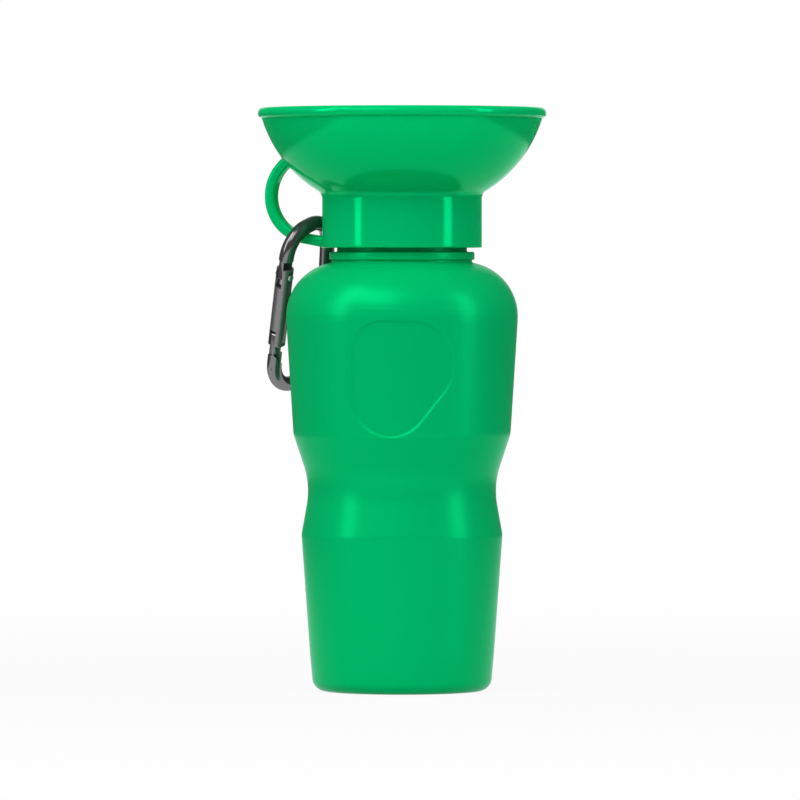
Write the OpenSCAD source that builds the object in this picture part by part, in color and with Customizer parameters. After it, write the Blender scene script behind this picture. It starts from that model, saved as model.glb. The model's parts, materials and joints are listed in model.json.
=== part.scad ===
// Travel water bottle for a dog: a squeeze bottle whose drinking bowl twists open on a valve cap.
// Millimetres. Origin: centre of the base. +Z: up. The recessed panel faces -Y.

/* [Bottle] */
// Radius of the base at the floor corner
base_r = 33.1; // [30:0.1:36]
// Radius where the short flare above the base ends
flare_r = 34.4; // [33:0.1:36]
// Height where the short flare above the base ends
flare_z = 13.8; // [10:0.1:18]
// Radius of the lower grip's shoulder
grip_r = 37.6; // [36:0.1:39]
// Height of the lower grip's shoulder
grip_z = 58.4; // [52:0.1:62]
// Radius where the two slopes of the waist would meet
waist_r = 34.3; // [32:0.1:36]
// Height of the waist
waist_z = 77; // [72:0.1:80]
// Radius of the upper barrel's lower edge
barrel_r = 40.6; // [38:0.1:42]
// Height of the upper barrel's lower edge
barrel_z = 96; // [92:0.1:100]
// Radius where the barrel's side would meet the shoulder's slope
shoulder_r = 44.4; // [42:0.1:46]
// Height where the barrel's side would meet the shoulder's slope
shoulder_z = 156.2; // [152:0.1:158]
// Round of the shoulder
shoulder_round = 20.4; // [14:0.1:20.4]
// Wall of the blown body
bottle_wall = 1.2; // [0.9:0.1:2]
// Height of the push-up in the base
push_up = 2.8; // [1:0.1:5]
// Radius of the push-up's edge on the floor ring
push_up_r = 24; // [18:0.5:26]

/* [Neck] */
// Height where the shoulder ends at the neck bead
neck_z = 160; // [159:0.1:161]
// Radius of the bead under the neck
bead_r = 27.1; // [26.5:0.1:28]
// Height of the bead
bead_h = 3; // [2:0.1:3.2]
// Outer radius of the neck
neck_r = 24.3; // [23:0.1:24.8]
// Bore of the neck
neck_bore_r = 22.3; // [20:0.1:22.8]
// Length of the neck from the shoulder to the lip
neck_h = 19; // [17:0.1:21]

/* [Recessed panel] */
// Height of the panel's middle
panel_z = 117.4; // [112:0.1:120]
// Round of the panel's upper left end
panel_top_r = 11.2; // [8:0.1:14]
// Round of the panel's broad right side
panel_side_r = 15.7; // [12:0.1:17]
// Round of the panel's lower left end
panel_foot_r = 14.2; // [10:0.1:16]
// Distance from the panel's middle to the middle of the upper left round
panel_top_out = 12.4; // [9:0.1:13]
// Distance from the panel's middle to the middle of the broad right round
panel_side_out = 6.4; // [4:0.1:8]
// Distance from the panel's middle to the middle of the lower left round
panel_foot_out = 8.7; // [6:0.1:10]
// Depth of the recess
panel_depth = 0.7; // [0.3:0.1:1.2]

/* [Valve cap] */
// Radial room for the thread between neck and skirt
thread_room = 1.55; // [1.2:0.05:1.7]
// Wall of the threaded skirt
skirt_wall = 1.25; // [1:0.05:1.4]
// Gap between the neck bead and the skirt's lower edge
skirt_gap = 2.1; // [1.7:0.1:3]
// Thickness of the cap's deck
deck_h = 2; // [1.5:0.1:3]
// Thickness of the neck gasket
gasket_h = 1.5; // [1:0.1:2.5]
// Outer radius of the dip tube
tube_r = 4; // [3:0.1:5]
// Wall of the dip tube and of its socket
tube_wall = 1; // [0.8:0.1:1.4]
// Length of the socket that holds the dip tube
socket_h = 10; // [6:0.5:14]
// Room between the dip tube's end and the bottle's floor
tube_foot_gap = 3; // [2:0.5:10]
// Slant of the dip tube's lower end
tube_slant = 35; // [0:1:45]
// Outer radius of the windowed turret
turret_r = 18.9; // [16:0.1:19]
// Wall of the windowed turret
turret_wall = 1.6; // [1.2:0.1:2]
// Height of the windowed turret above the deck
turret_h = 3.7; // [3.5:0.1:4.5]
// Number of windows round the turret
window_count = 4; // [3:1:6]
// Width of one window
window_w = 13; // [6:0.5:14]

/* [Dome plug] */
// Radius of the dome plug's brim
plug_r = 21.15; // [20.5:0.05:21.3]
// Height of the dome above the bowl's floor
dome_h = 8.2; // [6:0.1:12]
// Round of the dome's edge
dome_round = 7; // [4:0.1:7.5]
// Wall of the dome plug
plug_wall = 1.5; // [1.1:0.1:2]
// Section of the plug's O-ring
plug_oring_d = 1.5; // [1.2:0.1:1.6]

/* [Bowl] */
// Radius of the port in the bowl's floor
port_r = 21.5; // [21.4:0.05:22.5]
// Height of the bowl's floor
floor_z = 187; // [187:0.1:188]
// Thickness of the bowl's floor
floor_h = 2.2; // [1.8:0.1:2.4]
// Radius of the arc that the bowl's outer wall follows
bowl_arc_r = 48.6; // [46:0.1:50]
// Distance of that arc's centre from the axis
bowl_arc_x = 5.95; // [4:0.05:7]
// Height of that arc's centre above the bowl's floor
bowl_arc_h = 41.2; // [38:0.1:44]
// Wall of the bowl
bowl_wall = 2; // [1.5:0.1:2.6]
// Radius of the rolled rim's bead
rim_bead = 2; // [1.5:0.1:2.5]
// Height of the rim's bead above the bowl's floor
rim_h = 28.9; // [24:0.1:32]
// Outer radius of the collar
collar_r = 29.9; // [29.6:0.1:31]
// Gap between the neck bead and the collar's lower edge
collar_gap = 1.5; // [1:0.1:1.7]
// Round between the collar and the bowl
collar_round = 3; // [1:0.1:4]
// Radial room for the cam thread between skirt and collar
cam_room = 1.15; // [1:0.05:1.3]
// Section of the collar's O-ring
collar_oring_d = 1.8; // [1.7:0.05:2]
// Height of the collar's O-ring above the collar's lower edge
collar_oring_h = 12; // [11:0.1:12.5]

/* [Carry loop] */
// Direction of the loop, seen from above, from +X towards +Y
loop_turn = 160; // [0:1:359]
// Distance of the loop's centre from the axis
loop_x = 36.2; // [35:0.1:38]
// Height of the loop's centre below the bowl's floor
loop_drop = 2; // [0:0.1:4]
// Radius of the loop along the middle of its strap
loop_r = 16; // [14:0.1:17]
// Thickness of the strap
strap_t = 4; // [3:0.1:4.4]
// Width of the strap
strap_w = 6; // [4:0.1:8]
// Round of the strap's edges
strap_round = 1.4; // [0.5:0.1:1.5]
// Slope of the strap's straight lower run
strap_slope = 10; // [4:0.5:14]

/* [Carabiner] */
// Thickness of the bent rod
rod_d = 5.6; // [4.5:0.1:6]
// Width across the top, between the middles of the rod
hook_top_w = 22.3; // [21:0.1:24]
// Width across the bottom, between the middles of the rod
hook_base_w = 28.7; // [26:0.1:31]
// Length, between the middles of the rod
hook_l = 66.5; // [62:0.1:69]
// Bend at the top of the spine
spine_bend = 10.7; // [7:0.1:11]
// Bend above the gate
gate_bend = 10.8; // [8:0.1:11]
// Bends at the bottom
base_bend = 12.5; // [8:0.1:13]
// Distance of the spine's upper corner from the shoulder's side, towards the axis
hook_inset = 12.55; // [12:0.05:12.9]
// Thickness of the gate's sleeve
gate_d = 6.5; // [6:0.1:7]
// Length of the gate above its rivet
gate_above = 3.2; // [2.8:0.1:3.3]
// Length of the gate below its rivet
gate_below = 28.9; // [26:0.1:29.5]
// Distance of the rivet from the corner above the gate
rivet_from_corner = 16.6; // [16:0.1:17]
// Thickness of the rod's flattened tongues
tongue_t = 2.2; // [1.6:0.1:2.4]
// Distance from the rivet up to the rod's end above the gate
rod_end = 6.4; // [4.4:0.1:7]
// Depth of the gate's upper slot below the rivet
slot_depth = 4.4; // [4:0.1:6]
// Depth of the notch in the gate's lower end
notch_h = 6.4; // [5:0.1:7]
// Slant of the shoulders beside the hook's nose
nose_slant = 44; // [20:1:50]
// Radius of the rivet's shank
rivet_r = 0.8; // [0.6:0.05:1]
// Radius of the rivet's heads
rivet_head_r = 1.3; // [1.1:0.05:1.6]
// Bore of the gate's sleeve
gate_bore_r = 1.9; // [1.6:0.1:2]
// Thickness of the spring's wire
wire_d = 0.5; // [0.3:0.05:0.6]
// Number of turns of the spring
spring_turns = 9; // [6:1:12]

/* [Hidden] */

$fn = 96;

// Clearances
running_fit = 0.06;
seal_gap = 0.05;
tongue_gap = 0.25;
end_gap = 0.15;
eps = 0.01;
weld_lap = 0.25;
weld_step = 0.04;
cut_past = 5;

// Rounds of the body's outline, from the push-up to the barrel
push_up_round = 6;
floor_round = 1.5;
base_round = 4.8;
flare_round = 60;
grip_round = 8;
waist_round = 30;
barrel_round = 10;
// Step under the neck bead, and the small rounds of bead, neck and lip
bead_step = 1.1;
bead_undercut = 0.9;
bead_round = 0.6;
lip_round = 0.5;

// Heights and radii that follow from the sizes above
bead_z = neck_z + bead_step;
bead_top_z = bead_z + bead_h;
lip_z = neck_z + neck_h;
skirt_r = neck_r + thread_room;
skirt_out_r = skirt_r + skirt_wall;
skirt_z = bead_top_z + skirt_gap;
deck_z = lip_z + gasket_h;
deck_top_z = deck_z + deck_h;
socket_r = tube_r + running_fit;
turret_z = deck_top_z + turret_h;
ceiling_z = floor_z - floor_h;
plug_groove_z = floor_z - floor_h / 2;
plug_groove_h = plug_oring_d + 2 * seal_gap;
plug_oring_x = port_r - running_fit - plug_oring_d / 2;
plug_groove_r = plug_oring_x - plug_oring_d / 2 - seal_gap;
plug_edge_h = 0.8;
plug_side_in = 1.3;
dome_crown = 0.2;
plug_seat_in = 1.2;
plug_edge_z = plug_groove_z - plug_groove_h / 2 - plug_edge_h;
plug_bore_r = turret_r + running_fit;
collar_z = bead_top_z + collar_gap;
collar_bore_r = skirt_out_r + cam_room;
collar_oring_z = collar_z + collar_oring_h;
collar_oring_x = skirt_out_r + running_fit + collar_oring_d / 2;
collar_groove_r = collar_oring_x + collar_oring_d / 2 + seal_gap;
rim_z = floor_z + rim_h;
bowl_centre = [bowl_arc_x, floor_z + bowl_arc_h];
wall_mid_r = bowl_arc_r - bowl_wall / 2;
rim_centre = [arc_reach(wall_mid_r, bowl_arc_h - rim_h), rim_z];
loop_z = floor_z - loop_drop;
loop_centre = [loop_x, loop_z];
tube_foot_z = push_up + bottle_wall + tube_foot_gap;

// Carabiner: the corners of its outline before bending, in its own plane (across, up)
hook_corners = [
    [0, 0, spine_bend],
    [-hook_top_w, 0, gate_bend],
    [-hook_base_w, -hook_l, base_bend],
    [0, -hook_l, base_bend]
];
// Where the carabiner hangs from the loop: its spine's upper corner, and its three turns
hook_side = -7;
hook_rise = 4.1;
hook_at = [shoulder_r - hook_inset, hook_side, loop_z - loop_r + strap_t / 2 + rod_d / 2 + hook_rise];
hook_turn = -106.5;
hook_lean = 21;
hook_tilt = -21.8;
gate_slope = atan2(hook_base_w - hook_top_w, hook_l);
tongue_slot = tongue_t + 2 * tongue_gap;
tongue_foot = 1.2;
notch_top = gate_below - notch_h;
nose_top = notch_top + 1.3;
nose_in = 1.5;
latch_drop = gate_below - 1.9;
latch_r = 0.6;
latch_room = 0.25;
shoulder_gap = 3.6;
hook_shoulder = gate_below + shoulder_gap;
shoulder_fall = rod_d * tan(nose_slant);
rivet_head_h = 0.7;
rivet_seat = gate_d / 2 - 0.35;
bore_foot = notch_top - 1.2;
plunger_h = 2;
stem_r = 0.9;
stem_h = 4;
plunger_travel = 0.7;

// Discs that the panel's outline is wrapped round: [across, up, radius], anticlockwise
panel_top_turn = 127;
panel_foot_turn = 240.5;
panel_side_turn = 52.6;
panel_discs = [
    concat(panel_top_out * [cos(panel_top_turn), sin(panel_top_turn)], panel_top_r),
    concat(panel_foot_out * [cos(panel_foot_turn), sin(panel_foot_turn)], panel_foot_r),
    concat(panel_side_out * [cos(panel_side_turn), sin(panel_side_turn)], panel_side_r)
];

function unit(v) = v / norm(v);
function bearing(v) = atan2(v[1], v[0]);
function short_turn(a) = a > 180 ? a - 360 : a < -180 ? a + 360 : a;
function flat(p) = [p[0], p[1]];
function arc_reach(radius, drop) = bowl_arc_x + sqrt(radius * radius - drop * drop);

// Facts of one rounded corner b between a and c: [centre, radius, first angle, sweep, run]
function bend_facts(a, b, c) =
    let (u = unit(flat(a) - flat(b)), v = unit(flat(c) - flat(b)), half = acos(u * v) / 2)
    let (run = b[2] / tan(half), centre = flat(b) + unit(u + v) * b[2] / sin(half))
    let (first = bearing(flat(b) + u * run - centre), last = bearing(flat(b) + v * run - centre))
    [centre, b[2], first, short_turn(last - first), run];

function arc_points(centre, radius, first, sweep, steps) =
    [for (i = [0 : steps]) centre + radius * [cos(first + sweep * i / steps), sin(first + sweep * i / steps)]];

// A line without its first point, to follow one that ends there
function tail(points) = [for (i = [1 : len(points) - 1]) points[i]];

// An open outline from corners [across, up, round], with the rounds drawn as arcs
function rounded(corners, steps = 8) = [
    for (i = [0 : len(corners) - 1])
        let (c = corners[i])
        each (i == 0 || i == len(corners) - 1 || c[2] == 0)
            ? [flat(c)]
            : let (f = bend_facts(corners[i - 1], c, corners[i + 1])) arc_points(f[0], f[1], f[2], f[3], steps)
];

// The same outline moved to its left by a depth
function inset(line, depth) = [
    for (i = [0 : len(line) - 1])
        let (a = max(i, 1), b = min(i, len(line) - 2))
        let (before = unit(line[a] - line[a - 1]), after = unit(line[b + 1] - line[b]))
        let (mean = unit(before + after), side = [-mean[1], mean[0]])
        line[i] + side * depth / (side * [-before[1], before[0]])
];

// Outline of the blown body, from the middle of the base to the shoulder's upper edge
body_line = rounded([
    [0, push_up, 0],
    [push_up_r * 0.62, push_up, push_up_round],
    [push_up_r, 0, floor_round],
    [base_r, 0, base_round],
    [flare_r, flare_z, flare_round],
    [grip_r, grip_z, grip_round],
    [waist_r, waist_z, waist_round],
    [barrel_r, barrel_z, barrel_round],
    [shoulder_r, shoulder_z, shoulder_round],
    [bead_r - 0.4, neck_z, 0]
]);

// Direction that the line from disc a to disc b faces, where it touches both on its right
function facing(a, b) = bearing(flat(b) - flat(a)) - acos((a[2] - b[2]) / norm(flat(b) - flat(a)));

// Outline wrapped round discs [across, up, radius], with their radii grown by a margin
function wrapped(discs, grow, steps = 14) = [
    for (i = [0 : len(discs) - 1])
        let (n = len(discs), d = discs[i])
        let (first = facing(discs[(i + n - 1) % n], d), last = facing(d, discs[(i + 1) % n]))
        each arc_points(flat(d), d[2] + grow, first, (last - first + 720) % 360, steps)
];

// Angle on one of the bowl wall's arcs where it runs into the rim's bead
function rim_meeting(radius) =
    let (away = norm(rim_centre - bowl_centre))
    bearing(rim_centre - bowl_centre) - acos((away * away + radius * radius - rim_bead * rim_bead) / (2 * away * radius));

function on_arc(centre, radius, angle) = centre + radius * [cos(angle), sin(angle)];

// Angle on the loop's circle where it reaches the middle of the bowl's wall
function loop_meeting() =
    let (way = bowl_centre - loop_centre, away = norm(way))
    bearing(way) - acos((loop_r * loop_r + away * away - wall_mid_r * wall_mid_r) / (2 * loop_r * away));

module ring(outer, inner, low, high) {
    translate([0, 0, low])
        difference() {
            cylinder(r = outer, h = high - low);
            translate([0, 0, -1]) cylinder(r = inner, h = high - low + 2);
        }
}

module torus(middle, section, height) {
    translate([0, 0, height]) rotate_extrude() translate([middle, 0]) circle(d = section, $fn = 32);
}

// The body's form, moved in by a depth and closed on the axis
module body_form(depth) {
    line = inset(body_line, depth);
    top = line[len(line) - 1];
    rotate_extrude() polygon(concat([for (p = line) [max(p[0], 0), p[1]]], [[0, top[1]]]));
}

// Prism of the panel's outline, from the axis out to the front
module panel_prism(grow) {
    translate([0, 0, panel_z])
        rotate([90, 0, 0])
            linear_extrude(shoulder_r + cut_past) polygon(wrapped(panel_discs, grow));
}

// What a dish of the panel takes off a form moved in by a depth
module panel_dish(grow, depth) {
    difference() {
        panel_prism(grow);
        body_form(depth + panel_depth);
    }
}

module bottle() {
    color([0, 0.67, 0.38])
        difference() {
            union() {
                difference() {
                    body_form(0);
                    panel_dish(0, 0);
                }
                rotate_extrude()
                    polygon(rounded([
                        [0, neck_z - bottle_wall, 0],
                        [bead_r - bead_undercut, neck_z - bottle_wall, 0],
                        [bead_r - bead_undercut, bead_z, 0],
                        [bead_r, bead_z, bead_round / 2],
                        [bead_r, bead_top_z, bead_round],
                        [neck_r, bead_top_z, lip_round],
                        [neck_r, lip_z, lip_round],
                        [0, lip_z, 0]
                    ], 4));
            }
            difference() {
                body_form(bottle_wall);
                panel_dish(bottle_wall / 2, bottle_wall);
            }
            translate([0, 0, neck_z - 2 * bottle_wall]) cylinder(r = neck_bore_r, h = neck_h + cut_past);
        }
}

module neck_gasket() {
    color([0.85, 0.87, 0.85]) ring(skirt_r - 0.3, neck_bore_r, lip_z + seal_gap, deck_z - seal_gap);
}

module valve_cap() {
    color([0, 0.55, 0.3]) {
        difference() {
            union() {
                ring(skirt_out_r, skirt_r, skirt_z, deck_z);
                translate([0, 0, deck_z]) cylinder(r = skirt_out_r, h = deck_h);
                translate([0, 0, deck_z - socket_h]) cylinder(r = socket_r + tube_wall, h = socket_h);
                ring(turret_r, turret_r - turret_wall, deck_top_z, turret_z);
            }
            translate([0, 0, deck_z - socket_h - 1]) cylinder(r = socket_r, h = socket_h + 1);
            translate([0, 0, deck_z - 1]) cylinder(r = tube_r - tube_wall, h = deck_h + cut_past);
            for (i = [0 : window_count - 1])
                rotate([0, 0, 360 * i / window_count])
                    translate([0, -window_w / 2, deck_top_z])
                        cube([turret_r + 2, window_w, turret_h - 1]);
        }
    }
}

module dip_tube() {
    color([0.85, 0.92, 0.88])
        difference() {
            ring(tube_r, tube_r - tube_wall, tube_foot_z, deck_z - seal_gap);
            translate([0, -tube_r, tube_foot_z])
                rotate([tube_slant, 0, 0])
                    translate([-2 * tube_r, -tube_r, -4 * tube_r]) cube([4 * tube_r, 5 * tube_r, 4 * tube_r]);
        }
}

module dome_plug() {
    low = plug_groove_z - plug_groove_h / 2;
    high = plug_groove_z + plug_groove_h / 2;
    seat_z = turret_z + seal_gap;
    outer = rounded([
        [plug_r, high, 0],
        [plug_r, floor_z + 0.3, 0.3],
        [plug_r - plug_side_in, floor_z + dome_h - dome_crown, dome_round],
        [0, floor_z + dome_h, 0]
    ]);
    inner = rounded([
        [plug_bore_r - plug_seat_in, seat_z, 0],
        [plug_bore_r - plug_seat_in - plug_edge_h, floor_z + dome_h - plug_wall - dome_crown, dome_round - plug_wall],
        [0, floor_z + dome_h - plug_wall, 0]
    ]);
    color([0, 0.5, 0.25])
        rotate_extrude()
            polygon(concat(
                [[plug_bore_r, plug_edge_z], [plug_r - 0.25, plug_edge_z], [plug_r - 0.25, low]],
                [[plug_groove_r, low], [plug_groove_r, high]],
                outer,
                [for (i = [len(inner) - 1 : -1 : 0]) inner[i]],
                [[plug_bore_r, seat_z]]
            ));
}

module plug_oring() {
    color([0.15, 0.15, 0.15]) torus(plug_oring_x, plug_oring_d, plug_groove_z);
}

module collar_oring() {
    color([0.15, 0.15, 0.15]) torus(collar_oring_x, collar_oring_d, collar_oring_z);
}

// The strap's section, with its thickness across and its width up
module strap_section(grow = 0) {
    offset(r = strap_round + grow, $fn = 16)
        square([strap_t - 2 * strap_round, strap_w - 2 * strap_round], center = true);
}

// The carry loop in the plane of +X and Z; its straight run is a hair thicker and lapped over the bend
module carry_loop() {
    first = strap_slope - 90;
    last = loop_meeting();
    start = [loop_x + loop_r * cos(first), loop_z + loop_r * sin(first)];
    run = (start[0] - collar_r + 0.9) / cos(strap_slope);
    translate([loop_x, 0, loop_z])
        rotate([90, 0, 0])
            rotate([0, 0, first])
                rotate_extrude(angle = last - first)
                    translate([loop_r, 0]) strap_section();
    translate([start[0], 0, start[1]])
        rotate([0, -90 - strap_slope, 0])
            translate([0, 0, -weld_lap]) linear_extrude(run + weld_lap) strap_section(weld_step / 2);
}

module bowl() {
    foot_step = 0.4;
    inner_r = bowl_arc_r - bowl_wall;
    outer_low = -asin((bowl_arc_h + foot_step) / bowl_arc_r);
    outer_high = rim_meeting(bowl_arc_r);
    inner_low = -asin(bowl_arc_h / inner_r);
    inner_high = rim_meeting(inner_r);
    bead_first = bearing(on_arc(bowl_centre, bowl_arc_r, outer_high) - rim_centre);
    bead_last = bearing(on_arc(bowl_centre, inner_r, inner_high) - rim_centre) + 360;
    foot = on_arc(bowl_centre, bowl_arc_r, outer_low);
    groove = collar_oring_d / 2 + seal_gap;
    color([0, 0.72, 0.42])
        difference() {
            union() {
                rotate_extrude()
                    polygon(concat(
                        [[port_r, ceiling_z], [collar_bore_r, ceiling_z], [collar_bore_r, collar_z]],
                        [[collar_r - foot_step, collar_z], [collar_r, collar_z + foot_step]],
                        rounded([
                            [collar_r, collar_z + 2 * foot_step, 0],
                            [collar_r, foot[1] - 3 * foot_step, collar_round],
                            [foot[0], foot[1], 0]
                        ]),
                        tail(arc_points(bowl_centre, bowl_arc_r, outer_low, outer_high - outer_low, 20)),
                        tail(arc_points(rim_centre, rim_bead, bead_first, bead_last - bead_first, 20)),
                        tail(arc_points(bowl_centre, inner_r, inner_high, inner_low - inner_high, 20)),
                        [[port_r, floor_z]]
                    ));
                rotate([0, 0, loop_turn]) carry_loop();
            }
            ring(collar_groove_r, collar_bore_r - 1, collar_oring_z - groove, collar_oring_z + groove);
        }
}

// Places children, drawn in the carabiner's own plane, where it hangs from the loop
module hung() {
    rotate([0, 0, loop_turn])
        translate(hook_at)
            rotate([0, 0, hook_turn])
                rotate([hook_lean, 0, 0])
                    rotate([0, hook_tilt, 0])
                        children();
}

// Places children at the gate's rivet, with +Z up along the gate and +X towards the spine
module at_rivet() {
    corner = hook_corners[1];
    along = rivet_from_corner;
    hung()
        translate([corner[0] - along * sin(gate_slope), 0, corner[1] - along * cos(gate_slope)])
            rotate([0, gate_slope, 0])
                children();
}

module rod_bend(facts) {
    translate([facts[0][0], 0, facts[0][1]])
        rotate([90, 0, 0])
            rotate([0, 0, min(facts[2], facts[2] + facts[3])])
                rotate_extrude(angle = abs(facts[3]))
                    translate([facts[1], 0]) circle(d = rod_d, $fn = 32);
}

// A straight run, a hair thicker than the bends and lapped over their ends
module rod_run(from, to) {
    way = unit(to - from);
    start = from - way * weld_lap;
    translate([start[0], 0, start[1]])
        rotate([0, bearing([way[1], way[0]]), 0])
            cylinder(d = rod_d + weld_step, h = norm(to - from) + 2 * weld_lap, $fn = 32);
}

// The rod flattened to a tongue, between two heights from the rivet
module rod_tongue(low, high) {
    intersection() {
        translate([0, 0, low]) cylinder(d = rod_d, h = high - low, $fn = 32);
        translate([-rod_d, -tongue_t / 2, low - 1]) cube([2 * rod_d, tongue_t, high - low + 2]);
    }
}

module carabiner_body() {
    count = len(hook_corners);
    facts = [
        for (i = [0 : count - 1])
            bend_facts(hook_corners[(i + count - 1) % count], hook_corners[i], hook_corners[(i + 1) % count])
    ];
    ends = [
        for (i = [0 : count - 1])
            let (f = facts[i])
            [f[0] + f[1] * [cos(f[2]), sin(f[2])], f[0] + f[1] * [cos(f[2] + f[3]), sin(f[2] + f[3])]]
    ];
    gate_way = unit(flat(hook_corners[2]) - flat(hook_corners[1]));
    rivet = flat(hook_corners[1]) + gate_way * rivet_from_corner;
    upper_end = rivet - gate_way * rod_end;
    shoulder = rivet + gate_way * (hook_shoulder + shoulder_fall);
    color([0.25, 0.25, 0.27]) {
        hung() {
            for (f = facts) rod_bend(f);
            rod_run(ends[0][1], ends[1][0]);
            rod_run(ends[1][1], upper_end);
            rod_run(ends[2][1], ends[3][0]);
            rod_run(ends[3][1], ends[0][0]);
            rod_run(shoulder, ends[2][0]);
        }
        at_rivet() {
            difference() {
                rod_tongue(-tongue_foot, rod_end + weld_lap);
                rotate([90, 0, 0]) cylinder(r = rivet_r + running_fit, h = rod_d, center = true, $fn = 32);
            }
            difference() {
                rod_tongue(-hook_shoulder - shoulder_fall - weld_lap, -nose_top);
                translate([nose_in, -rod_d, -hook_shoulder]) cube([rod_d, 2 * rod_d, shoulder_gap + notch_h]);
                translate([0, 0, -latch_drop])
                    rotate([90, 0, 0]) cylinder(r = latch_r + latch_room, h = rod_d, center = true, $fn = 32);
                translate([0, -rod_d / 2, -latch_drop - latch_r - latch_room])
                    cube([rod_d, rod_d, 2 * (latch_r + latch_room)]);
            }
            difference() {
                translate([0, 0, -hook_shoulder - shoulder_fall])
                    cylinder(d = rod_d, h = shoulder_fall + weld_lap, $fn = 32);
                translate([-rod_d / 2, -rod_d, -hook_shoulder])
                    rotate([0, nose_slant, 0]) cube([2 * rod_d, 2 * rod_d, rod_d]);
            }
        }
    }
}

module carabiner_gate() {
    color([0.32, 0.32, 0.34])
        at_rivet()
            difference() {
                translate([0, 0, -gate_below]) cylinder(d = gate_d, h = gate_below + gate_above, $fn = 48);
                translate([0, 0, -bore_foot]) cylinder(r = gate_bore_r, h = bore_foot + gate_above + 1, $fn = 32);
                translate([-gate_d, -tongue_slot / 2, -slot_depth])
                    cube([gate_d * 2, tongue_slot, slot_depth + gate_above + 1]);
                translate([-gate_d, -tongue_slot / 2, -gate_below - 1])
                    cube([gate_d * 2, tongue_slot, gate_below + 1 - notch_top]);
                rotate([90, 0, 0]) cylinder(r = rivet_r + running_fit / 2, h = gate_d * 2, center = true, $fn = 32);
                for (side = [0, 1])
                    mirror([0, side, 0])
                        translate([0, rivet_seat, 0])
                            rotate([-90, 0, 0]) cylinder(r = rivet_head_r + running_fit, h = gate_d, $fn = 32);
                translate([0, 0, -latch_drop])
                    rotate([90, 0, 0]) cylinder(r = latch_r + running_fit / 2, h = gate_d * 2, center = true, $fn = 32);
            }
}

module gate_rivet() {
    color([0.6, 0.6, 0.62])
        at_rivet()
            rotate([90, 0, 0])
                union() {
                    cylinder(r = rivet_r, h = gate_d, center = true, $fn = 32);
                    for (side = [0, 1])
                        mirror([0, 0, side])
                            translate([0, 0, rivet_seat + seal_gap])
                                rotate_extrude($fn = 32)
                                    polygon(rounded([
                                        [0, 0, 0], [rivet_head_r, 0, 0],
                                        [rivet_head_r, rivet_head_h, rivet_head_h * 0.7], [0, rivet_head_h, 0]
                                    ], 5));
                }
}

module latch_pin() {
    color([0.6, 0.6, 0.62])
        at_rivet()
            translate([0, 0, -latch_drop])
                rotate([90, 0, 0]) cylinder(r = latch_r, h = gate_d - 0.3, center = true, $fn = 32);
}

module gate_plunger() {
    top = -tongue_foot - end_gap;
    color([0.5, 0.5, 0.52])
        at_rivet()
            union() {
                translate([0, 0, top - plunger_h]) cylinder(r = gate_bore_r - running_fit, h = plunger_h, $fn = 32);
                translate([0, 0, top - plunger_h - stem_h]) cylinder(r = stem_r, h = stem_h + eps, $fn = 32);
            }
}

// One unbroken coil, drawn as rings of points joined by faces
module coil(middle, wire, turns, height, rings_per_turn = 8, sides = 6) {
    rings = turns * rings_per_turn;
    points = [
        for (i = [0 : rings])
            for (j = [0 : sides - 1])
                let (a = 360 * i / rings_per_turn, b = 360 * j / sides, reach = middle + wire / 2 * cos(b))
                [reach * cos(a), reach * sin(a), height * i / rings + wire / 2 * sin(b)]
    ];
    faces = concat(
        [[for (j = [0 : sides - 1]) j]],
        [
            for (i = [0 : rings - 1])
                for (j = [0 : sides - 1])
                    let (k = (j + 1) % sides, p = i * sides, q = p + sides)
                    each [[p + j, q + j, q + k], [p + j, q + k, p + k]]
        ],
        [[for (j = [sides - 1 : -1 : 0]) rings * sides + j]]
    );
    polyhedron(points, faces, convexity = 10);
}

module gate_spring() {
    top = -tongue_foot - end_gap - plunger_h - plunger_travel;
    foot = -bore_foot + seal_gap + wire_d / 2;
    color([0.7, 0.7, 0.72])
        at_rivet()
            translate([0, 0, foot])
                coil(gate_bore_r - running_fit - wire_d / 2, wire_d, spring_turns, top - wire_d / 2 - foot);
}

bottle();
neck_gasket();
valve_cap();
dip_tube();
dome_plug();
plug_oring();
collar_oring();
bowl();
carabiner_body();
carabiner_gate();
gate_rivet();
latch_pin();
gate_plunger();
gate_spring();
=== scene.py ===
import json
from math import acos, asin, atan2, copysign, cos, exp, hypot, inf, pi, radians, sin, sqrt, tan

import bmesh
import bpy
import numpy as np
from mathutils import Matrix, Vector


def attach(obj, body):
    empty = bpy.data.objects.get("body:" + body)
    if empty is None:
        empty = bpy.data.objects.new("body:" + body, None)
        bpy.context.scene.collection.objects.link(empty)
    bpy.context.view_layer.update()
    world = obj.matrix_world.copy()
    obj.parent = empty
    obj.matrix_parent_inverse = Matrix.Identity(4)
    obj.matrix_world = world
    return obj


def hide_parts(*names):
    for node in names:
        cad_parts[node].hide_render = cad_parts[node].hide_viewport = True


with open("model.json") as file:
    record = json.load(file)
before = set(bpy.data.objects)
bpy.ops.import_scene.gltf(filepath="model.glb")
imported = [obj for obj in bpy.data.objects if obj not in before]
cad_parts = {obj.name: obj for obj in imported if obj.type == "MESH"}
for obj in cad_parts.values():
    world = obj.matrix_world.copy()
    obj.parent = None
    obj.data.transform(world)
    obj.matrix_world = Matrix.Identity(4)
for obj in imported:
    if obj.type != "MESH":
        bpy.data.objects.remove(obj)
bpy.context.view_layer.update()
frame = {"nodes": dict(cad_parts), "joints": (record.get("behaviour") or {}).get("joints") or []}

scene = bpy.context.scene
joints = {joint["name"]: joint for joint in frame["joints"]}
mm = 0.001


def newObject(name, data):
    obj = bpy.data.objects.new(name, data)
    scene.collection.objects.link(obj)
    return obj


def lookingBack(away):  # the turn of a camera or a lamp that stands away from what it faces
    return (-away).to_track_quat("-Z", "Y").to_euler()


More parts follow.
